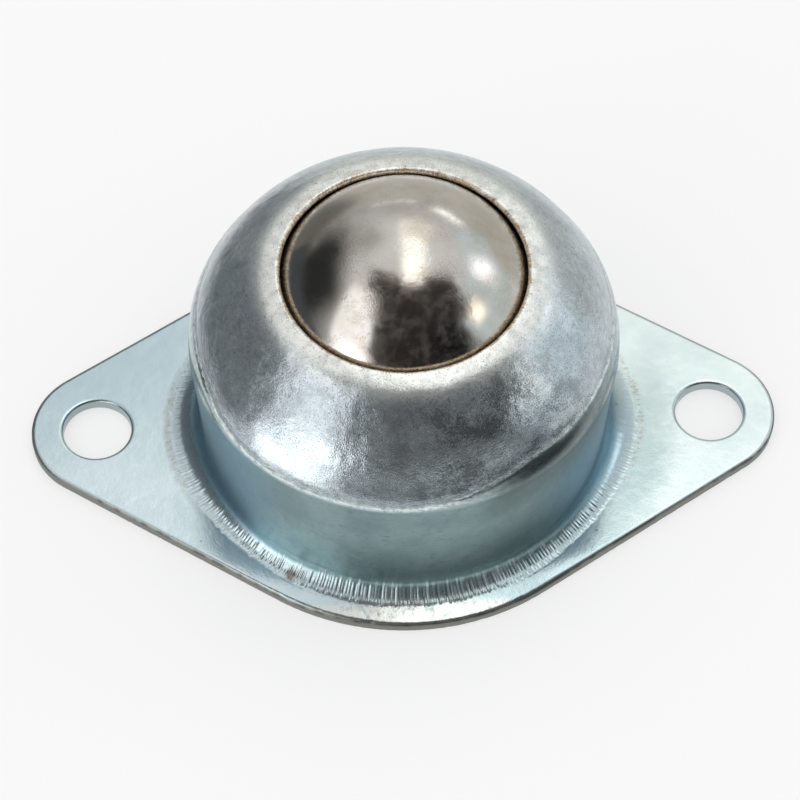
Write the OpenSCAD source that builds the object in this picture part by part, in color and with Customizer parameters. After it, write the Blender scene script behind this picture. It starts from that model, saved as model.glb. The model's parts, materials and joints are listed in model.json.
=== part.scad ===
// Ball transfer unit: a load ball that rolls in every direction on a bed of small
// support balls, held in a pressed steel housing with a two-hole mounting flange.
// Millimetres. +Z is up, the two bolt ears lie along X, and the origin is the
// centre of the mounting face under the flange.

/* [Load ball] */
// Diameter of the load ball, one inch
ball_d = 25.4; // [24:0.1:30]
// How far the load ball stands out above the lip of the housing
ball_out = 5.55; // [4.5:0.05:6.5]

/* [Support balls] */
// Diameter of one support ball, an eighth of an inch
support_d = 3.175; // [2.9:0.025:3.4]
// Running clearance between a support ball and each surface that it rolls on
ball_play = 0.05; // [0.02:0.01:0.1]
// Gap between neighbouring balls of a full row
ball_gap = 0.025; // [0.02:0.005:0.1]

/* [Bearing cup] */
// Wall thickness of the hardened cup
cup_t = 1.2; // [0.8:0.1:1.6]
// Height of the cup's underside above the mounting face
cup_lift = 0.9; // [0.2:0.1:4]
// How far the cup's rim reaches out past its bowl
rim_w = 1.1; // [0.5:0.1:2]
// Depth of the rim's top face below the centre of the load ball
rim_drop = 2.2; // [1.8:0.1:4]
// Radius of the bend from the bowl into the rim
rim_bend = 1.0; // [0.6:0.1:1.2]
// Clearance between the rim and the wall that grips it
rim_fit = 0.03; // [0.02:0.01:0.1]

/* [Housing] */
// Thickness of the drawn sheet
sheet_t = 1.2; // [1:0.05:1.6]
// Lean of the wall, outward and up, in degrees
wall_lean = 2.9; // [0.5:0.1:4]
// Outside radius of the arc that closes the dome over the ball
dome_r = 13.2; // [12.5:0.1:16]
// Clearance between the coined face of the lip and the load ball
lip_gap = 0.18; // [0.1:0.01:0.4]
// Rounding of the lip's worn upper edge
lip_round = 0.35; // [0.2:0.05:0.5]
// Radius of the drawn bend between wall and flange, on its upper side
foot_bend = 2.2; // [1.5:0.1:4]

/* [Flange] */
// Flat left between the bend and the sheared edge, at the front and the back
flange_flat = 1.25; // [0.3:0.05:4]
// Distance between the two bolt holes
hole_pitch = 58; // [55:0.5:70]
// Diameter of a bolt hole
hole_d = 6.4; // [4:0.1:7.5]
// Distance from a bolt hole's centre to the end of its ear
ear_end = 6.2; // [5.5:0.1:9]
// Radius of the rounded end of an ear
ear_r = 6.9; // [6:0.1:9]

/* [Hidden] */
$fn = 96;
// Steps along a curved stretch of a revolved section
steps = 24;

// Number of support balls in the first and the second row round the pole
first_row = 6;
second_row = 12;
// Rows round the pole, and how many of them have a node for each ball
rows = 7;
single_rows = 2;
singles = 1 + first_row + second_row;

// Load ball
ball_r = ball_d / 2;
ball_z = cup_lift + cup_t + support_d + 2 * ball_play + ball_r;

// Sphere on which the centres of the support balls lie, and the angle from one row to the next
track_r = ball_r + ball_play + support_d / 2;
row_angle = asin((support_d + ball_gap) / track_r);

// Bearing cup
cup_in_r = ball_r + 2 * ball_play + support_d;
cup_out_r = cup_in_r + cup_t;
rim_z = ball_z - rim_drop;
rim_r = cup_out_r + rim_w;

// Housing: the shoulder is the widest place inside it, where the wall meets the dome
shoulder_in = [rim_r + rim_fit + cup_t * tan(wall_lean), rim_z];
dome_in_r = dome_r - sheet_t;
foot_z = sheet_t + foot_bend;
wall_in_r = shoulder_in.x - (rim_z - foot_z) * tan(wall_lean);
wall_out_r = wall_in_r + sheet_t;
foot_r = wall_out_r + foot_bend;

// Centre of the lip's edge rounding, a fixed clearance away from the load ball
lip_z = ball_z + ball_r - ball_out - lip_round;
lip_reach = ball_r + lip_gap + lip_round;
lip = [sqrt(pow(lip_reach, 2) - pow(lip_z - ball_z, 2)), lip_z];

// Flange: its own radius, and the radius to which the revolved section reaches into it
flange_r = foot_r + flange_flat;
disc_r = foot_r + flange_flat / 2;
ear_x = hole_pitch / 2 + ear_end - ear_r;

ball_names = [for (i = [1 : singles]) str("support_ball_", i < 10 ? "0" : "", i)];
row_names = [for (k = [single_rows + 1 : rows]) str("support_row_", k)];

// Point at a radius and an angle round a centre
function polar(c, r, a) = c + r * [cos(a), sin(a)];

// Points along an arc round a centre, from one angle to another
function arc(c, r, from, to, n = steps) = [for (i = [0 : n]) polar(c, r, from + (to - from) * i / n)];

// Direction from one point to another, in degrees
function heading(p, q) = atan2(q.y - p.y, q.x - p.x);

// Point at distance a from p and b from q, on the left going from p to q
function meet(p, a, q, b) =
    let (d = norm(q - p), turn = acos((a * a + d * d - b * b) / (2 * a * d)))
    polar(p, a, heading(p, q) + turn);

// Outline through a list of points, with each point that repeats the one before it left out
function outline(p) = [for (i = [0 : len(p) - 1]) if (norm(p[i] - p[(i + 1) % len(p)]) > 0.001) p[i]];

// Centre of the load ball and of the dome's arc, in the section plane
ball_c = [0, ball_z];
dome_c = meet(shoulder_in, dome_in_r, lip, dome_r - lip_round);
shoulder_out = [dome_c.x + sqrt(pow(dome_r, 2) - pow(rim_z - dome_c.y, 2)), rim_z];

// Half section of the drawn housing: flange, bend, leaning wall, dome and coined lip
module housing_section() {
    foot_c = [foot_r, foot_z];
    lip_corner = meet(ball_c, ball_r + lip_gap, dome_c, dome_in_r);
    polygon(outline(concat(
        [[disc_r, 0], [disc_r, sheet_t]],
        arc(foot_c, foot_bend, 270, 180),
        arc(dome_c, dome_r, heading(dome_c, shoulder_out), heading(dome_c, lip)),
        arc(lip, lip_round, heading(dome_c, lip), heading(lip, ball_c) + 360, 12),
        arc(ball_c, ball_r + lip_gap, heading(ball_c, lip), heading(ball_c, lip_corner), 6),
        arc(dome_c, dome_in_r, heading(dome_c, lip_corner), heading(dome_c, shoulder_in)),
        arc(foot_c, foot_bend + sheet_t, 180, 270)
    )));
}

// Flange outline: a disc and two ears, joined by straight tangents
module flange_outline() {
    lean = acos((flange_r - ear_r) / ear_x);
    circle(flange_r);
    for (side = [-1, 1]) translate([side * ear_x, 0]) circle(ear_r);
    polygon([for (side = [1, -1], end = [1, -1], big = [end, -end])
        big > 0 ? [side * flange_r * cos(lean), side * end * flange_r * sin(lean)]
                : [side * (ear_x + ear_r * cos(lean)), side * end * ear_r * sin(lean)]]);
}

module housing() color([0.66, 0.73, 0.77]) {
    rotate_extrude() housing_section();
    linear_extrude(sheet_t) difference() {
        flange_outline();
        circle(foot_r);
        for (side = [-1, 1]) translate([side * hole_pitch / 2, 0]) circle(d = hole_d);
    }
}

// Half section of the bearing cup: a hemispherical bowl that bends out into a flat rim
module cup_section() {
    bend_z = rim_z - rim_bend;
    bend_c = [sqrt(pow(cup_in_r + rim_bend, 2) - pow(ball_z - bend_z, 2)), bend_z];
    under_z = rim_z - cup_t;
    under_x = sqrt(pow(cup_out_r, 2) - pow(ball_z - under_z, 2));
    polygon(outline(concat(
        arc(ball_c, cup_in_r, 270, heading(ball_c, bend_c) + 360),
        arc(bend_c, rim_bend, heading(bend_c, ball_c), 90, 8),
        [[rim_r, rim_z], [rim_r, under_z]],
        arc(ball_c, cup_out_r, heading(ball_c, [under_x, under_z]) + 360, 270)
    )));
}

module bearing_cup() color([0.52, 0.55, 0.57]) rotate_extrude() cup_section();

module load_ball() color([0.78, 0.77, 0.75]) translate([0, 0, ball_z]) sphere(d = ball_d);

// One support ball of row k, counted from the pole, at an angle round the axis
module track_ball(k, turn) color([0.7, 0.7, 0.71])
    translate([0, 0, ball_z]) rotate([0, 0, turn]) rotate([0, k * row_angle, 0])
        translate([0, 0, -track_r]) sphere(d = support_d);

// Balls that fit into row k
function row_count(k) = floor(180 / asin((support_d + ball_gap / 2) / 2 / (track_r * sin(k * row_angle))));

// Support ball number i: the pole ball, then the first row, then the second
module support_ball(i) {
    if (i == 1) track_ball(0, 0);
    else if (i <= 1 + first_row) track_ball(1, (i - 2) * 360 / first_row);
    else track_ball(2, (i - 2 - first_row) * 360 / second_row + 180 / second_row);
}

// A full row of support balls, each row turned by half a pitch against the last
module support_row(k) {
    n = row_count(k);
    for (i = [0 : n - 1]) track_ball(k, (i + k % 2 / 2) * 360 / n);
}

housing();
bearing_cup();
load_ball();
for (i = [1 : singles]) support_ball(i);
for (k = [single_rows + 1 : rows]) support_row(k);
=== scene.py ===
"""Ball transfer unit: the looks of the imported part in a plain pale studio.

The drawn housing and the load ball are modelled here as dense meshes round the sizes of the
frame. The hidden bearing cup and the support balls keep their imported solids.
Lengths are millimetres until a mesh is made, but metres in the studio. Angles are degrees.
"""
import json
import math
from functools import partial, reduce

import bmesh
import bpy
import numpy as np
from mathutils import Matrix, Vector
from mathutils.geometry import delaunay_2d_cdt

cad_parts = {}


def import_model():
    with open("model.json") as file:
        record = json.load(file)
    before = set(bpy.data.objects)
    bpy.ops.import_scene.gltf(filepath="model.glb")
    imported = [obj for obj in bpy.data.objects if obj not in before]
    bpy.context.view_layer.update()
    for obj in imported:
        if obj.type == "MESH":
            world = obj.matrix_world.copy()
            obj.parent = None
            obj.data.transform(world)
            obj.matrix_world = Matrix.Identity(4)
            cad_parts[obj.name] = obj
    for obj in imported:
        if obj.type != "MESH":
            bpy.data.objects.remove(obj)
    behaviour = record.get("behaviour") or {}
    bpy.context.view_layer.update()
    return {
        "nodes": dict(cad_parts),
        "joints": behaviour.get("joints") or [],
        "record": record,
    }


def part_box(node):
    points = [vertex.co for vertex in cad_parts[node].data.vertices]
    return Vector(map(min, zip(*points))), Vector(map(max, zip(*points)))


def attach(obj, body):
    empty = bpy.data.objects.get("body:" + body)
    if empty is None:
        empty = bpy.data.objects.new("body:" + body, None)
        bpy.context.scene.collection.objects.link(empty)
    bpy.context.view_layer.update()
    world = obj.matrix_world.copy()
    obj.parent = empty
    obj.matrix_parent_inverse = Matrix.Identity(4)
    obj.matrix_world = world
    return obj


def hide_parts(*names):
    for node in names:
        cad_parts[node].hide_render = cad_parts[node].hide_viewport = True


MM = 0.001
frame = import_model()

# Sizes that the frame gives
mounts = {m["name"]: m for m in frame["record"]["mounts"]}
SHEET = mounts["flange_top"]["pos_m"][2] / MM
HOLE_R = mounts["bolt_holes"]["dims"]["hole_r_mm"]
HOLE_X = mounts["bolt_holes"]["dims"]["spacing_x_mm"] / 2
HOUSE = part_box("housing")[1] / MM
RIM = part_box("bearing_cup")[1] / MM
BALL_Z = frame["joints"][0]["pos_m"][2] / MM
BALL_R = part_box("load_ball")[1].z / MM - BALL_Z

# Sizes of the housing's section that no box shows
WALL_LEAN = 2.9
DOME_R = 13.2
LIP_GAP = 0.18
LIP_ROUND = 0.35
RIM_FIT = 0.03
CUP_T = 1.2
FOOT_BEND = 2.2
EAR_R = 6.9
# Length of the soft crease on either side of the sharp shoulder
CREASE = 1.3
# Height of the fold between dome and shoulder, and how far the shoulder stands out under it
FOLD_Z = 18.1
FOLD_STEP = 0.11
# The fold dips round one heading: how far, its step there, and the cosines of the angle from
# that heading at which the dip starts and is full
FOLD_HEADING = -112
FOLD_DIP = 2.2
FOLD_STEP_FRONT = 0.05
DIP_EDGES = 0.55, 0.97
# Coining raises the dome round the lip by this much, round this radius
LAND_RISE = 0.24
LAND_R = 13.1
LAND_WIDTH = 1.2
# The drawn bend is tight along the narrow front and back, and soft towards the ears
BEND_FRONT = 1.85
BEND_EARS = 3.2
# The higher this power is, the closer to the ears the bend's radius grows
BEND_FOCUS = 10
BEND_GRAIN = 0.003
# Rounding that shearing leaves on the upper edges of the outline and of the bolt holes, and
# where the flat of the flange starts, inside that rounding
EDGE_ROLL = 0.34
EDGE_FLAT = 0.44
# The narrow front and back fall towards the edge: how far from it, down to how low, from how high
FALL_SPAN = 2.0
FALL_EDGE = 0.22
FALL_RISE = 0.28

rng = np.random.default_rng(11)


# ---------------------------------------------------------------- plane geometry
def polar(centre, radius, angle):
    """Points at an angle round a centre; each argument may be an array."""
    a = np.radians(angle)
    return centre[0] + radius * np.cos(a), centre[1] + radius * np.sin(a)


def heading(p, q):
    return math.degrees(math.atan2(q[1] - p[1], q[0] - p[0]))


def meet(p, a, q, b):
    """The point at distance a from p and b from q, on the left going from p to q."""
    d = math.dist(p, q)
    turn = math.degrees(math.acos((a * a + d * d - b * b) / (2 * a * d)))
    return polar(p, a, heading(p, q) + turn)


def smooth(x, low, high):
    t = np.clip((x - low) / (high - low), 0, 1)
    return t * t * (3 - 2 * t)


def waves(points, size, count=14, seed=1):
    """Soft random relief between about -1 and 1, with features of the given size."""
    draw = np.random.default_rng(seed)
    way = draw.normal(size=(count, 3))
    way *= (draw.uniform(0.6, 1.4, count) / np.linalg.norm(way, axis=1))[:, None]
    phase = draw.uniform(0, 2 * math.pi, count)
    return np.sin(points @ way.T * (2 * math.pi / size) + phase).sum(1) / math.sqrt(count)


# Section points of the housing, as (radius, height)
tan_lean = math.tan(math.radians(WALL_LEAN))
shoulder_in = (RIM.x + RIM_FIT + CUP_T * tan_lean, RIM.z)
ball_c = (0, BALL_Z)
lip_z = HOUSE.z - LIP_ROUND
lip = (math.sqrt((BALL_R + LIP_GAP + LIP_ROUND) ** 2 - (lip_z - BALL_Z) ** 2), lip_z)
dome_in_r = DOME_R - SHEET
dome_c = meet(shoulder_in, dome_in_r, lip, DOME_R - LIP_ROUND)
shoulder_out = (dome_c[0] + math.sqrt(DOME_R ** 2 - (RIM.z - dome_c[1]) ** 2), RIM.z)
foot_z = SHEET + FOOT_BEND
foot_wall_r = shoulder_in[0] - (RIM.z - foot_z) * tan_lean + SHEET
lean_out = math.degrees(math.atan2(shoulder_out[0] - foot_wall_r, RIM.z - foot_z))
# Height where the soft crease starts from the wall, and heading where it meets the dome
wall_top = shoulder_out[1] - CREASE
dome_low = heading(dome_c, shoulder_out) + math.degrees(CREASE / DOME_R)


def wall_radius(z, depth=0):
    """Radius of the wall at a height, at a depth under its outer face."""
    slope = math.tan(math.radians(lean_out))
    return shoulder_out[0] - (RIM.z - z) * slope - depth / math.cos(math.radians(lean_out))


# ---------------------------------------------------------------- mesh building
class Skin:
    """Gathers rings of points, the faces between them, and a mask for each point."""

    def __init__(self):
        self.points, self.faces, self.masks, self.count = [], [], [], 0

    def add(self, x, y, z, **masks):
        """Adds points and returns their numbers."""
        x, y, z = np.broadcast_arrays(np.asarray(x, float), y, z)
        self.points.append(np.stack([x, y, z], 1))
        self.masks.append((len(x), masks))
        self.count += len(x)
        return np.arange(self.count - len(x), self.count)

    def strip(self, a, b):
        """Faces between two closed rings with as many points each, or twice as many in one."""
        if len(a) == len(b):
            self.faces += np.stack([a, np.roll(a, -1), np.roll(b, -1), b], 1).tolist()
            return
        fine, rough = (a, b) if len(a) > len(b) else (b, a)
        start, middle, end = fine[::2], fine[1::2], np.roll(fine[::2], -1)
        far = np.roll(rough, -1)
        for corners in ((start, middle, rough), (middle, far, rough), (middle, end, far)):
            self.faces += np.stack(corners, 1).tolist()

    def strips(self, rings):
        for a, b in zip(rings, rings[1:]):
            self.strip(a, b)

    def mask(self, name):
        return np.concatenate([np.broadcast_to(m.get(name, 0.0), n) for n, m in self.masks])

    def mesh(self, name, masks=()):
        mesh = bpy.data.meshes.new(name)
        mesh.from_pydata((np.concatenate(self.points) * MM).tolist(), [], self.faces)
        for mask in masks:
            layer = mesh.attributes.new(mask, "FLOAT", "POINT")
            layer.data.foreach_set("value", self.mask(mask).astype(np.float32))
        mesh.polygons.foreach_set("use_smooth", [True] * len(mesh.polygons))
        outward = bmesh.new()
        outward.from_mesh(mesh)
        bmesh.ops.recalc_face_normals(outward, faces=outward.faces)
        outward.to_mesh(mesh)
        outward.free()
        return mesh


def place(mesh, material, body, slot, *nodes):
    """Makes a piece of a mesh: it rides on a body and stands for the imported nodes."""
    piece = bpy.data.objects.new(mesh.name, mesh)
    bpy.context.scene.collection.objects.link(piece)
    mesh.materials.append(material)
    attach(piece, body)
    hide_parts(*nodes)
    return piece


# ---------------------------------------------------------------- housing
FINE = 1920   # points round the bend, where the draw marks are
HALF = FINE // 2
BODY = 480    # points round the wall, the dome and the lip
INNER = 240   # points round the hidden inner faces
# Draw marks on the bend: ribs this far apart on average and this high at most
RIB_PITCH = 0.34
RIB_HEIGHT = 0.06
# Loops of the sheared outer edge, from the flat top to the flat underside: height, distance
# in from the outline, and how torn the cut is there
SHEARED = (
    (SHEET, EDGE_FLAT, 0),
    (SHEET, EDGE_ROLL, 0),
    (SHEET - 0.03, 0.19, 0),
    (SHEET - 0.09, 0.08, 0.1),
    (SHEET - 0.19, 0.02, 0.2),
    (0.6 * SHEET, 0, 0.5),
    (0.4 * SHEET, 0.012, 1),
    (0.14, 0.03, 1),
    (0.04, 0.055, 1),
    (0, 0.1, 0.5),
    (0, EDGE_FLAT, 0),
)
# Loops of a punched hole, in the same order: height, and distance out from the hole's radius
PUNCHED = (
    (SHEET, EDGE_FLAT),
    (SHEET, EDGE_ROLL),
    (SHEET - 0.025, 0.19),
    (SHEET - 0.09, 0.08),
    (SHEET - 0.2, 0.025),
    (SHEET - 0.36, 0),
    (0.35 * SHEET, 0),
    (0.1, 0.02),
    (0, 0.07),
    (0, EDGE_FLAT),
)


def around(n):
    return np.arange(n) * 360 / n


def bend_radius(angle):
    sideways = np.abs(np.cos(np.radians(angle))) ** BEND_FOCUS
    return BEND_FRONT + (BEND_EARS - BEND_FRONT) * sideways


def bend_point(angle, turn, depth=0):
    """Radius and height on the drawn bend. turn goes from 0 at the flange to 1 at the wall."""
    radius = bend_radius(angle)
    centre_z = SHEET + radius
    centre_r = wall_radius(centre_z) + radius / math.cos(math.radians(lean_out))
    section = 270 - turn * (90 + lean_out)
    return polar((centre_r, centre_z), radius + depth, section)


def draw_marks(angle, turns):
    """Height of the draw marks over a grid of angles and turns of the bend.

    They are high and long at the front and the back, and low and short towards the ears.
    """
    count = round(2 * math.pi * (FOOT_BEND + foot_wall_r) / RIB_PITCH)
    middle = (np.arange(count) + rng.uniform(-0.3, 0.3, count)) * 360 / count
    width = rng.uniform(0.36, 0.66, count) * 360 / count
    ahead = np.abs(np.sin(np.radians(middle)))
    height = rng.uniform(0.3, 1, count) * RIB_HEIGHT * (0.25 + 0.75 * ahead)
    reach = (0.2 + 0.75 * ahead ** 1.6) * rng.uniform(0.75, 1.15, count)
    start = rng.uniform(-0.02, 0.1, count) * np.clip(reach / 0.5, 0.2, 1) - 0.06 * (reach < 0.4)
    relief = np.zeros((len(turns), len(angle)))
    nearest = np.round(angle / 360 * count).astype(int)
    for step in (-1, 0, 1):
        i = (nearest + step) % count
        off = (angle - middle[i] + 180) % 360 - 180
        bump = np.clip(1 - (off / width[i]) ** 2, 0, 1) ** 1.5 * height[i]
        t = turns[:, None]
        window = smooth(t, start[i], start[i] + 0.12) * (1 - smooth(t, reach[i] * 0.7, reach[i]))
        relief = np.maximum(relief, bump * window)
    return relief


def outline(spacing=0.2):
    """Points round the flange and the outward directions there."""
    ear_x = HOUSE.x - EAR_R
    lean = math.degrees(math.acos((HOUSE.y - EAR_R) / ear_x))
    points, normals = [], []
    for side in (0, 180):
        ear, front = (ear_x, EAR_R, -lean, lean), (0, HOUSE.y, lean, 180 - lean)
        for centre_x, radius, low, high in (ear, front):
            n = round(math.radians(high - low) * radius / spacing)
            x, y = polar((0, 0), 1, side + np.linspace(low, high, n))
            middle_x = centre_x * math.cos(math.radians(side))
            if points:
                start = points[-1][-1]
                end = np.array([middle_x + radius * x[0], radius * y[0]])
                straight(points, normals, start, end, spacing)
            points.append(np.stack([middle_x + radius * x, radius * y], 1))
            normals.append(np.stack([x, y], 1))
    straight(points, normals, points[-1][-1], points[0][0], spacing)
    return np.concatenate(points), np.concatenate(normals)


def straight(points, normals, start, end, spacing):
    """Adds the inner points of a straight stretch of the outline."""
    n = round(math.dist(start, end) / spacing)
    t = np.linspace(0, 1, n + 1)[1:-1, None]
    points.append(start + (end - start) * t)
    normals.append(np.broadcast_to(normals[-1][-1], points[-1].shape))


def margin(x, y):
    """How far points lie inside the flange's outline; negative outside it."""
    x, y = np.abs(x), np.abs(y)
    ear_x = HOUSE.x - EAR_R
    lean = math.acos((HOUSE.y - EAR_R) / ear_x)
    along = x * math.sin(lean) - y * math.cos(lean)
    tangent = HOUSE.y - (x * math.cos(lean) + y * math.sin(lean))
    disc = HOUSE.y - np.hypot(x, y)
    ear = EAR_R - np.hypot(x - ear_x, y)
    return np.where(along < 0, disc, np.where(along > ear_x * math.sin(lean), ear, tangent))


def fill(skin, outer, holes, z, spacing, **masks):
    """Fills the flat face between the outer loop and the holes, the first of them at the bend."""
    loops = [outer, *holes]
    flat = np.concatenate(skin.points)[:, :2]
    foot_r = np.hypot(*flat[holes[0]].T).max()
    steps = [np.arange(-size, size, spacing) for size in (HOUSE.x, HOUSE.y)]
    grid = np.stack(np.meshgrid(*steps), -1).reshape(-1, 2)
    grid += rng.uniform(-0.25, 0.25, grid.shape) * spacing
    room = 0.4 * spacing
    clear = np.hypot(*grid.T) > foot_r + room
    clear &= margin(*grid.T) > EDGE_FLAT + room
    clear &= np.hypot(np.abs(grid[:, 0]) - HOLE_X, grid[:, 1]) > HOLE_R + EDGE_FLAT + room
    grid = grid[clear]
    numbers = np.concatenate([*loops, skin.add(*grid.T, z, **masks)])
    ends = np.cumsum([len(loop) for loop in loops])
    bounds = [list(range(end - len(loop), end)) for end, loop in zip(ends, loops)]
    spots = [Vector(p) for p in np.concatenate([flat[np.concatenate(loops)], grid])]
    made, _, faces, source, _, within = delaunay_2d_cdt(spots, [], bounds, 0, 1e-6, True)
    for face, owners in zip(faces, within):
        if list(owners) == [0]:
            skin.faces.append([int(numbers[source[i][0]]) for i in face])


def sheared_edge(skin):
    """The sheared outer edge: rolled top corner, bright cut, torn zone. Gives its end loops."""
    points, normals = outline()
    along = np.stack([points[:, 0], points[:, 1], np.zeros(len(points))], 1)
    rough = np.clip(waves(along, 0.9, seed=3) + waves(along, 0.35, seed=4), 0, 3)
    front = smooth(-points[:, 1], 15, 20)
    nick = np.clip(waves(along, 1.1, seed=5) - 1.0, 0, 0.8) * front
    # Patches of painted shade in the band just under the rolled top corner
    edge_shade = smooth(waves(along, 7, seed=6) + 0.8 * waves(along, 1.1, seed=7), -0.3, 0.9)
    loops = []
    for height, depth, torn in SHEARED:
        give = depth + 0.012 * torn * rough + 0.1 * nick * (0.5 * SHEET < height < SHEET)
        edge = points - normals * give[:, None]
        drop = 0.05 * nick * smooth(height, 0.6 * SHEET, SHEET - 0.02) * (height < SHEET)
        cut = 1.0 if 0 < height < SHEET - 0.05 else 0.3 * (depth < EDGE_ROLL)
        seam = edge_shade * (SHEET - 0.3 < height < SHEET - 0.04)
        loops.append(skin.add(edge[:, 0], edge[:, 1], height - drop, cut=cut, seam=seam))
    skin.strips(loops)
    return loops[0], loops[-1]


def hole_edge(skin, side):
    """A punched bolt hole, rolled at the top and torn at the bottom. Gives its end loops."""
    angle = around(128)
    loops = []
    for height, more in PUNCHED:
        x, y = polar((side * HOLE_X, 0), HOLE_R + more, angle)
        cut = 0.45 if 0 < height < SHEET - 0.08 else 0.2 * (more < EDGE_ROLL)
        loops.append(skin.add(x, y, height, cut=cut))
    skin.strips(loops)
    return loops[0], loops[-1]


def revolve(skin, sections, count, **masks):
    """Rings round the axis through section points. Gives the rings."""
    rings = []
    for radius, height in sections:
        x, y = polar((0, 0), radius, around(count))
        rings.append(skin.add(x, y, height, **masks))
    return rings


def arc(centre, radius, low, high, count):
    return [polar(centre, radius, a) for a in np.linspace(low, high, count)]


def bend_rings(skin):
    """The drawn bend with its draw marks, from the flange to the wall."""
    angle = around(FINE)
    x, y = polar((0, 0), 20, angle)
    grain = waves(np.stack([x, y, angle * 0], 1), 0.5, 30, 9)
    turns = np.linspace(0, 1, 21)
    rings = []
    for turn, height in zip(turns, draw_marks(angle, turns)):
        r, z = bend_point(angle, turn, -height - BEND_GRAIN * grain * (turn < 0.7))
        x, y = polar((0, 0), r, angle)
        rings.append(skin.add(x, y, z, rib=height / RIB_HEIGHT))
    return rings


def wall_rings(skin):
    """The wall, up to where the shoulder's crease starts. Only its first ring is a finer one."""
    rings = []
    for count, shares in ((HALF, [0.08]), (BODY, np.linspace(0.2, 1.0, 6))):
        foot = bend_point(around(count), 1)[1]
        for share in shares:
            z = foot + (wall_top - foot) * share
            rings += revolve(skin, [(wall_radius(z), z)], count)
    return rings


def crease_section():
    """A soft curve from the wall to the dome, drawn towards the sharp shoulder between them."""
    start = wall_radius(wall_top), wall_top
    end = polar(dome_c, DOME_R, dome_low)
    points = []
    for t in np.linspace(0, 1, 10)[1:]:
        shares = (1 - t) ** 2, 2 * t * (1 - t), t * t
        points.append(tuple(np.dot(shares, ends) for ends in zip(start, shoulder_out, end)))
    return points


def dome_section():
    """The dome's arc, in close steps up to the fold, and the rounding of the lip."""
    fold_end = dome_low + 9
    top = heading(dome_c, lip)
    points = arc(dome_c, DOME_R, dome_low, fold_end, 12)[1:]
    points += arc(dome_c, DOME_R, fold_end, top, 24)[1:]
    return points + arc(lip, LIP_ROUND, top, heading(lip, ball_c) + 360, 10)[1:]


def outer_rings(skin):
    """Bend, wall, shoulder crease, dome and lip."""
    rings = bend_rings(skin) + wall_rings(skin)
    upper = [(r, z + land(r)) for r, z in crease_section() + dome_section()]
    return rings + revolve(skin, upper, BODY)


def land(r):
    """Height that coining the lip adds to the dome's arc, which leaves a flatter ring round it."""
    return LAND_RISE * math.exp(-((r - LAND_R) / LAND_WIDTH) ** 2)


def inner_rings(skin):
    """Coined face of the lip, inner dome, inner wall and inner bend."""
    coin_r = BALL_R + LIP_GAP
    corner = meet(ball_c, coin_r, dome_c, dome_in_r)
    coin = arc(ball_c, coin_r, heading(ball_c, lip), heading(ball_c, corner), 5)[1:]
    dome = arc(dome_c, dome_in_r, heading(dome_c, corner), heading(dome_c, shoulder_in), 14)[1:]
    angle = around(INNER)
    foot = bend_point(angle, 1, SHEET)[1]
    heights = [shoulder_in[1] + (foot - shoulder_in[1]) * t for t in (0.3, 0.6, 0.9)]
    wall = [(wall_radius(z, SHEET), z) for z in heights]
    bend = [bend_point(angle, turn, SHEET) for turn in np.linspace(1, 0, 10)]
    rings = revolve(skin, coin, BODY, inner=0.6)
    return rings + revolve(skin, dome + wall + bend, INNER, inner=1.0)


def foot_loop(skin, count, away):
    """A ring on the flat of the flange, just outside the bend."""
    r = bend_point(around(count), 0)[0] + away
    x, y = polar((0, 0), r, around(count))
    return skin.add(x, y, SHEET)


def housing_mesh():
    """The whole drawn sheet as one closed mesh."""
    skin = Skin()
    outer = outer_rings(skin)
    rings = outer + inner_rings(skin)
    skin.strips(rings)
    top_edge, bottom_edge = sheared_edge(skin)
    holes = [hole_edge(skin, side) for side in (-1, 1)]
    half = foot_loop(skin, HALF, 0.06)
    quarter = foot_loop(skin, BODY, 0.16)
    skin.strips([outer[0], half, quarter])
    fill(skin, top_edge, [quarter, holes[0][0], holes[1][0]], SHEET, 0.6)
    fill(skin, bottom_edge, [rings[-1], holes[0][1], holes[1][1]], 0, 2.5, inner=1.0)
    mesh = skin.mesh("drawn_housing", ("rib", "cut", "seam", "inner"))
    relax(mesh)
    return mesh


def plate_waves(co):
    """How far the upper face of the ears leaves its plane."""
    x, y, z = co.T
    flat = co * (1, 1, 0)
    wave = 0.006 * waves(flat, 11, seed=21) + 0.0012 * waves(flat, 3.5, seed=22)
    upper = smooth(z, 0.4 * SHEET, SHEET) * (1 - smooth(z, SHEET, 2 * SHEET))
    return (wave - 0.012) * upper * smooth(np.hypot(x, y), 22, 24)


def front_fall(co):
    """How far the upper face of the narrow front and back falls towards the edge after drawing."""
    x, y, z = co.T
    across = np.clip(1 - margin(x, y) / FALL_SPAN, 0, 1)
    fall = ((FALL_EDGE + FALL_RISE) * across - FALL_RISE) * smooth(np.abs(y) / HOUSE.y, 0.6, 0.9)
    foot = smooth(z, 0.4 * SHEET, SHEET) * (1 - smooth(z, SHEET + 0.1, SHEET + 1.8))
    return fall * foot * (np.hypot(x, y) > 18)


def fold(angle, z):
    """How far the shoulder stands out under the slight fold that the closing die leaves."""
    dip = smooth(np.cos(np.radians(angle - FOLD_HEADING)), *DIP_EDGES)
    waver = 0.1 * waves(np.stack([angle, 0 * angle, 0 * angle], -1), 60, seed=31)
    middle = FOLD_Z - FOLD_DIP * dip + waver
    step = FOLD_STEP + (FOLD_STEP_FRONT - FOLD_STEP) * dip
    return step * (1 - smooth(z, middle - 0.5, middle + 0.2))


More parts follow.
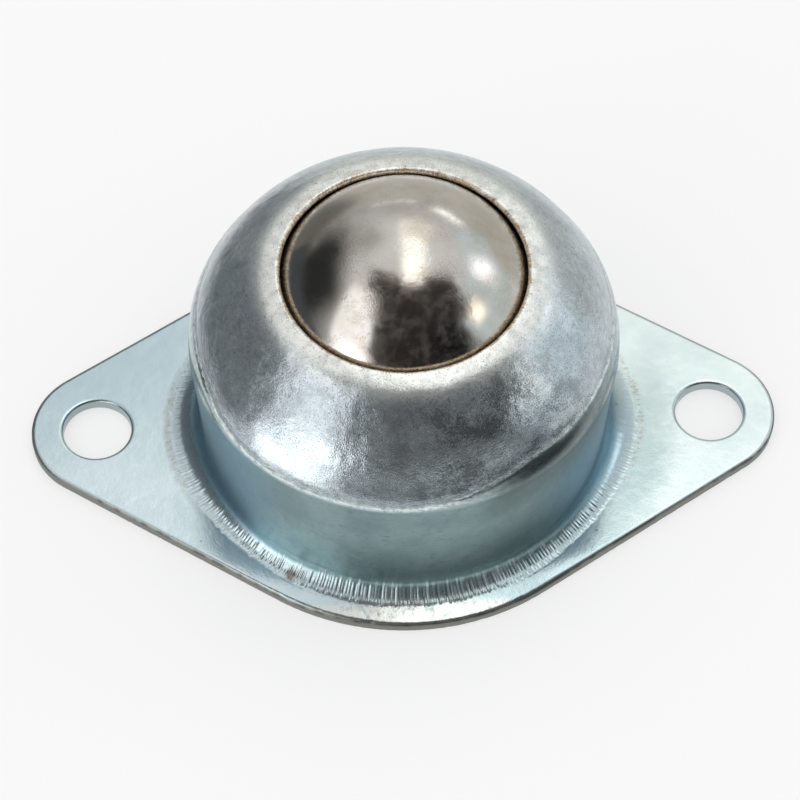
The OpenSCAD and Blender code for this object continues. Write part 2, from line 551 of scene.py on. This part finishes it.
def body_bulge(co):
    """How far wall and dome stand out, as a share of their radius."""
    x, y, z = co.T
    r = np.hypot(x, y)
    wave = 0.012 * waves(co, 9, seed=23) + 0.004 * waves(co, 3.2, seed=24)
    outer_face = wall_radius(np.minimum(z, RIM.z), 0.4 * SHEET) - 3 * smooth(z, RIM.z, RIM.z + 3)
    shoulder = fold(np.degrees(np.arctan2(y, x)), z) * smooth(z, RIM.z - 3, RIM.z - 0.5)
    body = smooth(z, 3, 6) * smooth(r, 12.2, 13.5)
    return (wave + shoulder * (r > outer_face) - 0.02) * body / np.maximum(r, 1)


def relax(mesh):
    """Small unevenness that drawing leaves in the sheet; the mounting face stays flat."""
    co = np.zeros(len(mesh.vertices) * 3)
    mesh.vertices.foreach_get("co", co)
    co = co.reshape(-1, 3) / MM
    co[:, 2] += plate_waves(co)
    co[:, 2] -= front_fall(co)
    co[:, :2] *= 1 + body_bulge(co)[:, None]
    mesh.vertices.foreach_set("co", (co * MM).ravel())
    mesh.update()


# ---------------------------------------------------------------- load ball
DINGS = 26    # faint dings that use has left on the load ball
DING_DEPTH = 0.006    # as a share of a ding's radius


def ball_mesh(cells=88):
    """A ball from six square patches, with the faint dings of use."""
    skin = Skin()
    t = np.tan(np.linspace(-math.pi / 4, math.pi / 4, cells + 1))
    u, v = np.meshgrid(t, t)
    one = np.ones_like(u)
    spots = {}
    for side in ((u, v, one), (-u, v, -one), (one, u, v), (-one, -u, v), (u, one, -v), (u, -one, v)):
        way = np.stack(side, -1).reshape(-1, 3)
        way /= np.linalg.norm(way, axis=1)[:, None]
        numbers = []
        for p in way:
            key = tuple(np.round(p, 6) + 0.0)
            if key not in spots:
                spots[key] = len(spots)
            numbers.append(spots[key])
        grid = np.array(numbers).reshape(cells + 1, cells + 1)
        quads = np.stack([grid[:-1, :-1], grid[:-1, 1:], grid[1:, 1:], grid[1:, :-1]], -1)
        skin.faces += quads.reshape(-1, 4).tolist()
    way = np.array(list(spots))
    dings = np.zeros(len(way))
    for _ in range(DINGS):
        spot = rng.normal(size=3)
        spot /= np.linalg.norm(spot)
        size = rng.uniform(0.2, 0.55)
        off = np.linalg.norm(way - spot, axis=1) * BALL_R
        dings += np.exp(-(off / size) ** 2) * size * DING_DEPTH
    radius = BALL_R - dings
    skin.add(*(way * radius[:, None]).T)
    skin.points[0][:, 2] += BALL_Z
    return skin.mesh("polished_load_ball")


# ---------------------------------------------------------------- materials
# Pairs of colours that a noise blends
CLEAR_FILM = (0.57, 0.69, 0.735, 1), (0.65, 0.76, 0.80, 1)
# Teal film of the wall, made darker than the film is, as a painted dark reflection
TEAL_AND_DARK_REFLECTION = (0.17, 0.26, 0.27, 1), (0.24, 0.34, 0.35, 1)
SHOULDER = (0.32, 0.40, 0.41, 1), (0.52, 0.60, 0.60, 1)
BURNISHED = (0.36, 0.42, 0.46, 1), (0.60, 0.66, 0.69, 1)
# Coined lip: rubbed bare metal, brightened to near white as a painted highlight
COINED_AND_HIGHLIGHT = (0.70, 0.72, 0.70, 1), (0.94, 0.95, 0.92, 1)
BROWN_LIP = (0.24, 0.17, 0.11, 1), (0.80, 0.64, 0.46, 1)
BARE_ZINC = (0.42, 0.44, 0.43, 1), (0.80, 0.80, 0.76, 1)
POLISHED = (0.60, 0.58, 0.55, 1), (0.52, 0.49, 0.44, 1)
HEAT_TINT = (0.38, 0.38, 0.37, 1), (0.27, 0.25, 0.22, 1)
PALE_FLOOR = (0.92, 0.92, 0.92, 1), (0.94, 0.94, 0.94, 1)
# Colours of marks and dirt, and of painted shade, highlights and reflections
# Painted shade beside the right bend
BEND_SHADE = (0.34, 0.45, 0.49, 1)
# Painted dim reflection at the back left of the flange
DIM_REFLECTION = (0.42, 0.55, 0.61, 1)
BLUE_FILM = (0.15, 0.28, 0.38, 1)
DARK_FILM = (0.13, 0.19, 0.20, 1)
# Painted highlight along the fold
FOLD_HIGHLIGHT = (0.76, 0.84, 0.82, 1)
DRAW_MARK = (0.66, 0.76, 0.79, 1)
# Painted shade under the fold
FOLD_SHADE = (0.06, 0.085, 0.085, 1)
# Painted dark reflection, in specks on the dome
DARK_REFLECTION_SPECKS = (0.13, 0.15, 0.16, 1)
SPECK = (0.12, 0.13, 0.14, 1)
INSIDE = (0.30, 0.29, 0.27, 1)
CUT_STEEL = (0.22, 0.225, 0.205, 1)
# Painted shade under the rolled top corner of the cut edge
SEAM_SHADE = (0.05, 0.05, 0.045, 1)
DEPOSIT = (0.26, 0.22, 0.17, 1)
RING_MARK = (0.30, 0.29, 0.26, 1)
PIT = (0.16, 0.14, 0.12, 1)
# Brown smudge on the load ball, partly a painted brown reflection
SMUDGE_AND_REFLECTION = (0.42, 0.25, 0.20, 1)


class Finish:
    """A node material with short names for the nodes that it needs."""

    def __init__(self, name):
        self.material = bpy.data.materials.new(name)
        self.material.use_nodes = True
        self.tree = self.material.node_tree
        self.shader = self.tree.nodes["Principled BSDF"]
        coords = self.node("ShaderNodeTexCoord").outputs["Object"]
        scale = self.node("ShaderNodeVectorMath", operation="SCALE")
        scale.inputs["Scale"].default_value = 1 / MM
        self.link(coords, scale.inputs[0])
        self.where = scale.outputs[0]

    def node(self, kind, **settings):
        made = self.tree.nodes.new(kind)
        for key, value in settings.items():
            setattr(made, key, value)
        return made

    def link(self, source, socket):
        if isinstance(source, (int, float, tuple, list)):
            socket.default_value = source
        else:
            self.tree.links.new(source, socket)

    def math(self, operation, a, b=0.0):
        made = self.node("ShaderNodeMath", operation=operation)
        for socket, value in zip(made.inputs, (a, b)):
            self.link(value, socket)
        return made.outputs[0]

    def plus(self, *values):
        return reduce(partial(self.math, "ADD"), values)

    def times(self, *values):
        return reduce(partial(self.math, "MULTIPLY"), values)

    def minus(self, a, b):
        return self.math("SUBTRACT", a, b)

    def rest(self, share):
        """What a share leaves of 1."""
        return self.minus(1.0, share)

    def distance(self, x, y):
        return self.math("SQRT", self.plus(self.times(x, x), self.times(y, y)))

    def mix(self, share, a, b):
        """A colour between a and b."""
        made = self.node("ShaderNodeMix", data_type="RGBA")
        for name, value in ((0, share), (6, a), (7, b)):
            self.link(value, made.inputs[name])
        return made.outputs[2]

    def blend(self, share, a, b):
        """A number between a and b."""
        made = self.node("ShaderNodeMix", data_type="FLOAT")
        for name, value in ((0, share), (2, a), (3, b)):
            self.link(value, made.inputs[name])
        return made.outputs[0]

    def ramp(self, value, low, high):
        """0 below low, 1 above high and smooth between."""
        made = self.node("ShaderNodeMapRange", interpolation_type="SMOOTHSTEP")
        self.link(value, made.inputs["Value"])
        made.inputs["From Min"].default_value = low
        made.inputs["From Max"].default_value = high
        return made.outputs["Result"]

    def shades(self, value, low, high, pair):
        """The first colour of a pair where value is below low, the second above high."""
        return self.mix(self.ramp(value, low, high), *pair)

    def noise(self, per_mm, detail=3.0, rough=0.55, where=None):
        made = self.node("ShaderNodeTexNoise")
        self.link(where or self.where, made.inputs["Vector"])
        made.inputs["Scale"].default_value = per_mm
        made.inputs["Detail"].default_value = detail
        made.inputs["Roughness"].default_value = rough
        return made.outputs["Fac"]

    def mask(self, name):
        return self.node("ShaderNodeAttribute", attribute_name=name).outputs["Fac"]

    def axes(self):
        split = self.node("ShaderNodeSeparateXYZ")
        self.link(self.where, split.inputs[0])
        return split.outputs

    def bump(self, height, depth_mm, after=None):
        made = self.node("ShaderNodeBump")
        made.inputs["Strength"].default_value = 1.0
        made.inputs["Distance"].default_value = depth_mm * MM
        self.link(height, made.inputs["Height"])
        if after is not None:
            self.link(after, made.inputs["Normal"])
        return made.outputs["Normal"]

    def glow(self, color):
        """An even glow, of which a colour of 1 shows as white."""
        made = self.node("ShaderNodeEmission")
        made.inputs["Color"].default_value = (*color, 1)
        return made.outputs[0]

    def surface(self, share, a, b):
        """Makes the surface a mix of two shaders."""
        made = self.node("ShaderNodeMixShader")
        for socket, value in zip(made.inputs, (share, a, b)):
            self.link(value, socket)
        self.link(made.outputs[0], self.tree.nodes["Material Output"].inputs["Surface"])

    def set(self, **sockets):
        names = {"color": "Base Color", "rough": "Roughness", "metal": "Metallic", "normal": "Normal"}
        for key, value in sockets.items():
            self.link(value, self.shader.inputs[names[key]])
        return self.material


class Zinc(Finish):
    """Zinc plate with a blue-white film: clear on the flange, teal on the wall, rubbed off the dome.
    Some of its colours are painted shade, highlights and reflections.
    """

    def __init__(self):
        super().__init__("zinc_plate")
        self.x, self.y, self.z = self.axes()
        self.left = self.times(self.x, -1.0)
        self.front = self.times(self.y, -1.0)
        self.r = self.distance(self.x, self.y)
        self.cloud = self.noise(0.16, 5.0, 0.6)
        self.patch = self.noise(0.8, 5.0, 0.62)
        self.grain = self.noise(6.5, 2.0, 0.6)
        self.streak = self.rubbing()
        self.mottle = self.blend(0.5, self.noise(1.5, 8.0, 0.75), self.streak)
        self.uneven = self.minus(self.blend(0.45, self.patch, self.streak), 0.5)
        self.areas()

    def rubbing(self):
        """A noise that is drawn out round the axis."""
        where = self.node("ShaderNodeCombineXYZ")
        self.link(self.times(self.math("ARCTAN2", self.y, self.x), 6.0), where.inputs["X"])
        self.link(self.z, where.inputs["Y"])
        return self.noise(4.0, 4.0, 0.7, where.outputs[0])

    def areas(self):
        """Shares of the fold's line, the dome above it, the wall and the lip, with uneven borders."""
        ahead = math.radians(FOLD_HEADING)
        facing = self.plus(self.times(self.x, math.cos(ahead)), self.times(self.y, math.sin(ahead)))
        dip = self.ramp(self.math("DIVIDE", facing, self.r), *DIP_EDGES)
        over_fold = self.minus(self.z, self.blend(dip, FOLD_Z, FOLD_Z - FOLD_DIP))
        self.line = self.rest(self.ramp(self.math("ABSOLUTE", over_fold), 0.1, 0.4))
        rubbed = self.plus(self.minus(over_fold, self.times(dip, 0.6)), self.times(self.uneven, 2.0))
        self.dome = self.ramp(rubbed, -0.3, 0.5)
        over_foot = self.ramp(self.z, SHEET + 0.1, SHEET + 1.2)
        self.on_wall = self.minus(over_foot, self.ramp(self.z, RIM.z - 0.5, RIM.z + 0.2))
        lip_r = self.plus(self.r, self.times(self.uneven, 2.6))
        self.on_lip = self.times(self.dome, self.rest(self.ramp(lip_r, 12.0, 14.4)))
        self.on_edge = self.times(self.dome, self.rest(self.ramp(lip_r, 11.0, 11.5)))

    def flange(self):
        """Clear film, with painted shade beside the right bend, a painted dim reflection at the back
        left, and bare in front.
        """
        color = self.shades(self.cloud, 0.35, 0.65, CLEAR_FILM)
        border = self.times(self.plus(self.minus(self.cloud, 0.5), self.uneven), 4.0)
        near = self.rest(self.ramp(self.plus(self.r, border), 22.5, 27.5))
        rightward = self.ramp(self.plus(self.x, self.front), 12.0, 24.0)
        # Painted shade on the flange beside the right bend
        color = self.mix(self.times(near, rightward, 0.75), color, BEND_SHADE)
        # Painted dim reflection: the flange is darker at the back left
        dimmer = self.times(self.ramp(self.left, 8.0, 16.0), self.ramp(self.y, -8.0, 8.0), 0.7)
        color = self.mix(dimmer, color, DIM_REFLECTION)
        bare = self.times(self.ramp(self.front, 19.5, 20.8), self.ramp(self.uneven, -0.2, 0.0), 0.85)
        return self.mix(bare, color, self.shades(self.mottle, 0.4, 0.52, BARE_ZINC))

    def shoulder(self, color):
        """Dull film above the crease, up to a painted highlight along the fold."""
        dimmer = self.shades(self.mottle, 0.42, 0.6, SHOULDER)
        color = self.mix(self.ramp(self.z, RIM.z - 1.0, RIM.z), color, dimmer)
        # Painted highlight along the fold, broken up by the mottle
        return self.mix(self.times(self.line, self.ramp(self.mottle, 0.4, 0.55)), color, FOLD_HIGHLIGHT)

    def wall(self):
        """Teal film, darkened as a painted dark reflection, and bluer towards the ears."""
        color = self.shades(self.cloud, 0.35, 0.65, TEAL_AND_DARK_REFLECTION)
        bluer = self.ramp(self.math("ABSOLUTE", self.x), 10.0, 17.0)
        return self.mix(self.times(bluer, 0.75), color, BLUE_FILM)

    def fold_shade(self):
        """Painted shade under the fold, at the front right."""
        height = self.plus(self.z, self.times(self.uneven, 3.0))
        side = self.times(self.ramp(self.x, 4.0, 10.0), self.ramp(self.front, 1.0, 11.0))
        under = self.ramp(height, RIM.z - 6.0, RIM.z - 0.5)
        return self.times(under, side, 0.7, self.rest(self.line))

    def burnished(self):
        """Burnished grey with dark specks of painted dark reflection, most of them at the front right.
        """
        color = self.shades(self.mottle, 0.3, 0.7, BURNISHED)
        there = self.times(self.ramp(self.x, -5.0, 5.0), self.ramp(self.front, 7.0, 13.0))
        fine = self.blend(0.6, self.streak, self.grain)
        dark_specks = self.ramp(self.blend(0.5, self.noise(0.35, 3.0, 0.6), fine), 0.47, 0.57)
        return self.mix(self.times(dark_specks, self.blend(there, 0.22, 0.85)), color, DARK_REFLECTION_SPECKS)

    def deposits(self):
        """A brown blob in the draw marks at the front left, and a few small specks on the plate."""
        x, y = polar((0, 0), 20.2, -123)
        away = self.distance(self.minus(self.x, x), self.minus(self.y, y))
        blob = self.rest(self.ramp(self.plus(away, self.times(self.streak, 1.6)), 1.0, 1.7))
        specks = self.times(self.ramp(self.noise(0.9, 1.0, 0.4), 0.76, 0.79), self.rest(self.dome))
        return self.times(self.math("MAXIMUM", blob, specks), 0.75)

    def ring_mark(self):
        """A brown ring outside the bend, where the drawing die ended: broken, but at the left."""
        sideways = self.math("ABSOLUTE", self.math("DIVIDE", self.x, self.r))
        sideways = self.math("POWER", sideways, BEND_FOCUS)
        bend_end = self.plus(bend_point(90, 0)[0], self.times(sideways, BEND_EARS - BEND_FRONT))
        off = self.minus(self.plus(self.r, self.times(self.uneven, 1.2)), bend_end)
        band = self.rest(self.ramp(self.math("ABSOLUTE", self.minus(off, 0.3)), 0.05, 0.6))
        broken = self.ramp(self.blend(0.5, self.streak, self.noise(3.0, 4.0, 0.7)), 0.44, 0.58)
        whole = self.times(self.ramp(self.left, 8.0, 14.0), 0.65)
        on_flange = self.rest(self.ramp(self.z, SHEET + 0.05, SHEET + 0.15))
        return self.times(band, self.math("MAXIMUM", broken, whole), on_flange, sideways, 0.75)

    def colors(self):
        """All colours, each over the ones before it."""
        # Painted shade under the fold goes over the wall and the shoulder
        fold_shade = self.fold_shade()
        wall = self.mix(fold_shade, self.wall(), FOLD_SHADE)
        wall = self.mix(self.ramp(self.mottle, 0.5, 0.68), wall, DARK_FILM)
        color = self.mix(self.on_wall, self.mix(fold_shade, self.shoulder(self.flange()), FOLD_SHADE), wall)
        for share, over in (
            (self.times(self.mask("rib"), 0.9), DRAW_MARK),
            (self.dome, self.burnished()),
            # Coined lip, near white as a painted highlight
            (self.on_lip, self.shades(self.patch, 0.35, 0.65, COINED_AND_HIGHLIGHT)),
            (self.on_edge, self.shades(self.grain, 0.35, 0.65, BROWN_LIP)),
            (self.mask("inner"), INSIDE),
            (self.mask("cut"), CUT_STEEL),
            # Painted shade under the rolled top corner
            (self.times(self.mask("seam"), 0.6), SEAM_SHADE),
            (self.deposits(), DEPOSIT),
            (self.ring_mark(), RING_MARK),
            (self.times(self.ramp(self.noise(7.0, 2.0, 0.5), 0.58, 0.68), self.dome, 0.6), SPECK),
        ):
            color = self.mix(share, color, over)
        return color

    def roughness(self):
        """Smooth on flange and dome, dull on the wall, the lip and the cut edge."""
        rough = self.blend(self.dome, self.blend(self.on_wall, 0.17, 0.34), 0.2)
        rough = self.blend(self.mask("rib"), rough, 0.3)
        rough = self.blend(self.on_lip, rough, 0.28)
        rough = self.blend(self.mask("cut"), rough, 0.45)
        return self.plus(rough, self.times(self.uneven, self.blend(self.dome, 0.12, 0.45)))

    def metal(self):
        """Share of metal: least in the draw marks and on the lip, which are rubbed to a dull grey."""
        metal = self.blend(self.mask("rib"), self.blend(self.dome, 0.9, 0.78), 0.6)
        return self.blend(self.on_lip, metal, 0.6)

    def relief(self):
        """Grain, rubbing marks, patches and the dome's soft dents."""
        normal = self.bump(self.times(self.grain, self.blend(self.dome, 0.3, 1.0)), 0.018)
        normal = self.bump(self.times(self.streak, self.dome), 0.016, normal)
        normal = self.bump(self.patch, 0.022, normal)
        return self.bump(self.times(self.noise(0.32, 2.0, 0.5), self.dome), 0.16, normal)

    def make(self):
        """The finished material."""
        surface = {"color": self.colors(), "rough": self.roughness()}
        return self.set(**surface, metal=self.metal(), normal=self.relief())


def smudges_and_brown_reflection(f):
    """Faint brown smudges on the upper front of the load ball, which are also a painted brown
    reflection.
    """
    x, y, z = f.axes()
    front = f.ramp(f.times(y, -1.0), 2.5, 5.0)
    middle = f.rest(f.ramp(f.math("ABSOLUTE", x), 3.0, 6.0))
    upper = f.ramp(z, BALL_Z + 5, BALL_Z + 8)
    return f.times(f.ramp(f.noise(0.8, 4.0, 0.65), 0.42, 0.7), front, upper, middle, 0.3)


def chrome_steel(name, worn):
    """Hardened and polished bearing steel. A worn ball has brown smudges, partly a painted reflection,
    and patches of peppery pits.
    """
    f = Finish(name)
    soft = f.noise(0.3, 4.0, 0.6)
    pepper = f.noise(7.5, 3.0, 0.65)
    patchy = f.ramp(f.noise(0.4, 4.0, 0.65), 0.44, 0.58)
    color = f.shades(soft, 0.35, 0.7, POLISHED)
    rough = f.plus(f.times(soft, 0.1), 0.07)
    metal = 1.0
    depth = 0.0008
    if worn:
        pits = f.times(f.ramp(pepper, 0.46, 0.62), patchy)
        brown_tint = smudges_and_brown_reflection(f)
        color = f.mix(brown_tint, f.mix(f.times(pits, 0.18), color, PIT), SMUDGE_AND_REFLECTION)
        rough = f.plus(rough, 0.04, f.times(pits, 0.08))
        metal = f.rest(f.times(brown_tint, 0.3))
        depth = 0.0083
    normal = f.bump(f.times(pepper, f.blend(patchy, 0.15, 1.0)), depth)
    return f.set(color=color, rough=rough, metal=metal, normal=normal)


def cup_steel():
    """Pressed and hardened steel with a straw-grey heat tint and scale."""
    f = Finish("hardened_cup")
    scale = f.noise(0.6, 5.0, 0.65)
    fine = f.noise(6.0, 3.0, 0.6)
    color = f.shades(scale, 0.35, 0.7, HEAT_TINT)
    rough = f.plus(0.32, f.times(scale, 0.2))
    return f.set(color=color, rough=rough, metal=1.0, normal=f.bump(fine, 0.004))


# ---------------------------------------------------------------- studio
FLOOR_SIZE = 8
FLOOR_GAP = 0.05 * MM    # keeps the floor clear of the mounting face
# The camera of the photograph's view: azimuth and elevation that it looks from, distance and aim
VIEW_FROM = -92.09, 55.79
VIEW_DISTANCE = 0.3
VIEW_AIM = Vector((-0.28, 2.0, 1.61)) * MM


def direction(azimuth, elevation):
    """Unit vector. Azimuth 0 is +X and 90 is +Y."""
    a, e = math.radians(azimuth), math.radians(elevation)
    return Vector((math.cos(a) * math.cos(e), math.sin(a) * math.cos(e), math.sin(e)))


def flat_piece(name, half_width, half_depth, material):
    """A flat piece of the studio, which isn't part of the object."""
    mesh = bpy.data.meshes.new(name)
    w, d = half_width, half_depth
    mesh.from_pydata([(-w, -d, 0), (w, -d, 0), (w, d, 0), (-w, d, 0)], [], [(0, 1, 2, 3)])
    mesh.materials.append(material)
    obj = bpy.data.objects.new(name, mesh)
    bpy.context.scene.collection.objects.link(obj)
    return obj


def glow_material(name, glow, soft):
    """An even glow that fades out towards the edges of its card."""
    f = Finish(name)
    split = f.node("ShaderNodeSeparateXYZ")
    f.link(f.node("ShaderNodeTexCoord").outputs["Generated"], split.inputs[0])
    shares = []
    for axis in split.outputs[:2]:
        inwards = f.minus(0.5, f.math("ABSOLUTE", f.minus(axis, 0.5)))
        shares.append(f.ramp(inwards, 0.0, soft / 2))
    clear = f.node("ShaderNodeBsdfTransparent").outputs[0]
    f.surface(f.times(*shares), clear, f.glow(glow))
    return f.material


def card(name, start, end, wide, glow, distance, soft, flag=False):
    """A soft box from one direction to another, each as azimuth and elevation from the load ball.

    wide is its other size as an angle, distance is in metres, and soft is the share of it that
    fades out. Only reflections show a flag, which is a card that lights nothing.
    """
    start, end = direction(*start), direction(*end)
    middle = (start + end).normalized()
    up = (end - start).normalized()
    tall = distance * math.tan(start.angle(end) / 2)
    half_width = distance * math.tan(math.radians(wide / 2))
    obj = flat_piece(name, half_width, tall, glow_material(name, glow, soft))
    turn = Matrix((up.cross(middle), up, middle)).transposed().to_4x4()
    obj.matrix_world = Matrix.Translation(middle * distance + Vector((0, 0, BALL_Z * MM))) @ turn
    obj.visible_camera = False
    obj.visible_diffuse = obj.visible_shadow = not flag


def floor():
    """Pale floor. A part of its white is its own, so that the part's shadow stays soft."""
    f = Finish("pale_floor")
    f.set(color=f.mix(f.noise(0.02, 2.0), *PALE_FLOOR), rough=0.8)
    f.shader.inputs["Specular IOR Level"].default_value = 0.0
    ray = f.node("ShaderNodeLightPath").outputs
    seen = f.plus(ray["Is Camera Ray"], ray["Is Glossy Ray"], ray["Is Transmission Ray"])
    f.surface(f.times(seen, 0.62), f.shader.outputs[0], f.glow((0.965, 0.965, 0.965)))
    flat_piece("floor", FLOOR_SIZE / 2, FLOOR_SIZE / 2, f.material).location.z = -FLOOR_GAP


def world(horizon, zenith):
    """A room that is brighter overhead than along the horizon."""
    made = bpy.data.worlds.new("studio")
    made.use_nodes = True
    tree = made.node_tree
    split = tree.nodes.new("ShaderNodeSeparateXYZ")
    tree.links.new(tree.nodes.new("ShaderNodeTexCoord").outputs["Generated"], split.inputs[0])
    height = tree.nodes.new("ShaderNodeMapRange")
    height.interpolation_type = "SMOOTHSTEP"
    ends = {"From Min": -0.1, "From Max": 0.95, "To Min": horizon, "To Max": zenith}
    for name, value in ends.items():
        height.inputs[name].default_value = value
    tree.links.new(split.outputs["Z"], height.inputs["Value"])
    tree.links.new(height.outputs[0], tree.nodes["Background"].inputs["Color"])
    bpy.context.scene.world = made


def studio():
    """Floor, room, and the cards that the dome and the load ball show as highlights and dark areas."""
    floor()
    world(0.34, 0.92)
    card("strip_overhead", (82, 40), (-66, 74), 21, (2.1, 2.1, 2.0), 1.1, 0.35)
    card("strip_foot", (76, 38), (76, 62), 28, (1.25, 1.18, 1.06), 1.05, 0.6, flag=True)
    card("glow_back_left", (122, 26), (140, 68), 34, (0.55, 0.54, 0.52), 1.15, 0.9)
    card("soft_box_left", (-136, 2), (-158, 62), 38, (1.65, 1.65, 1.65), 1.12, 0.25)
    card("soft_box_low", (-131, -12), (-134, 18), 32, (3.6, 3.6, 3.6), 1.1, 0.5)
    card("bounce_left", (-139, 4), (-139, -24), 38, (2.9, 2.9, 2.9), 0.055, 0.5, flag=True)
    card("soft_box_right", (8, -4), (8, 46), 82, (0.76, 0.85, 0.88), 1.2, 0.25)
    card("window_right", (-17, 14), (-17, 36), 21, (2.4, 2.2, 1.9), 1.1, 0.8)
    card("window_right_back", (17, 11), (17, 41), 24, (2.0, 2.0, 2.05), 1.1, 0.8)
    card("window_back", (62, 18), (62, 28), 28, (2.2, 2.2, 2.1), 1.1, 0.9)
    card("rail_back", (92, 18), (92, 21), 30, (1.5, 1.5, 1.4), 1.1, 0.5)
    card("flag_front", (-80, -10), (-82, 84), 94, (0.025, 0.021, 0.018), 1.3, 0.08, flag=True)
    card("flag_front_left", (-106, 6), (-140, 72), 20, (0.03, 0.026, 0.022), 1.0, 0.2, flag=True)
    card("flag_front_right", (-28, 28), (-32, 62), 22, (0.02, 0.018, 0.016), 1.0, 0.3, flag=True)
    card("flag_black", (-52, 0), (-52, 44), 36, (0.003, 0.003, 0.003), 1.25, 0.6, flag=True)
    card("flag_high_left", (-178, 62), (-108, 77), 18, (0.04, 0.04, 0.04), 1.0, 0.3, flag=True)
    card("flag_left", (160, -14), (160, 54), 84, (0.025, 0.027, 0.028), 1.3, 0.7, flag=True)
    card("flag_low_front", (-76, -2), (-76, -20), 92, (0.11, 0.13, 0.14), 0.052, 0.25, flag=True)
    card("flag_low_left", (165, 16), (165, -20), 84, (0.08, 0.09, 0.10), 0.052, 0.3, flag=True)
    card("flag_low_back_left", (128, 26), (128, -24), 50, (0.2, 0.2, 0.19), 0.057, 0.6, flag=True)
    card("flag_low_back", (80, 26), (80, -24), 122, (0.66, 0.65, 0.6), 0.06, 0.05, flag=True)
    card("flag_low_right", (-38, 10), (-38, -20), 24, (0.1, 0.12, 0.13), 0.051, 0.5, flag=True)
    card("flag_near_right", (-38, -5), (-38, -30), 52, (0.05, 0.065, 0.065), 0.036, 0.8, flag=True)


def camera():
    """The photograph's viewing angle: from the front, high up."""
    data = bpy.data.cameras.new("camera")
    data.sensor_width = 36
    data.lens = 142.2
    cam = bpy.data.objects.new("camera", data)
    bpy.context.scene.collection.objects.link(cam)
    back = direction(*VIEW_FROM)
    cam.location = VIEW_AIM + back * VIEW_DISTANCE
    cam.rotation_mode = "QUATERNION"
    cam.rotation_quaternion = (-back).to_track_quat("-Z", "Y")
    bpy.context.scene.camera = cam


# ---------------------------------------------------------------- the part
place(housing_mesh(), Zinc().make(), "base", "housing", "housing")
place(ball_mesh(), chrome_steel("load_ball_steel", worn=True), "ball", "load_ball", "load_ball")
support_steel = chrome_steel("support_ball_steel", worn=False)
for name, node in frame["nodes"].items():
    if name.startswith("support"):
        node.data.materials.clear()
        node.data.materials.append(support_steel)
cup = frame["nodes"]["bearing_cup"]
cup.data.materials.clear()
cup.data.materials.append(cup_steel())

studio()
camera()
bpy.context.scene.view_settings.view_transform = "Standard"
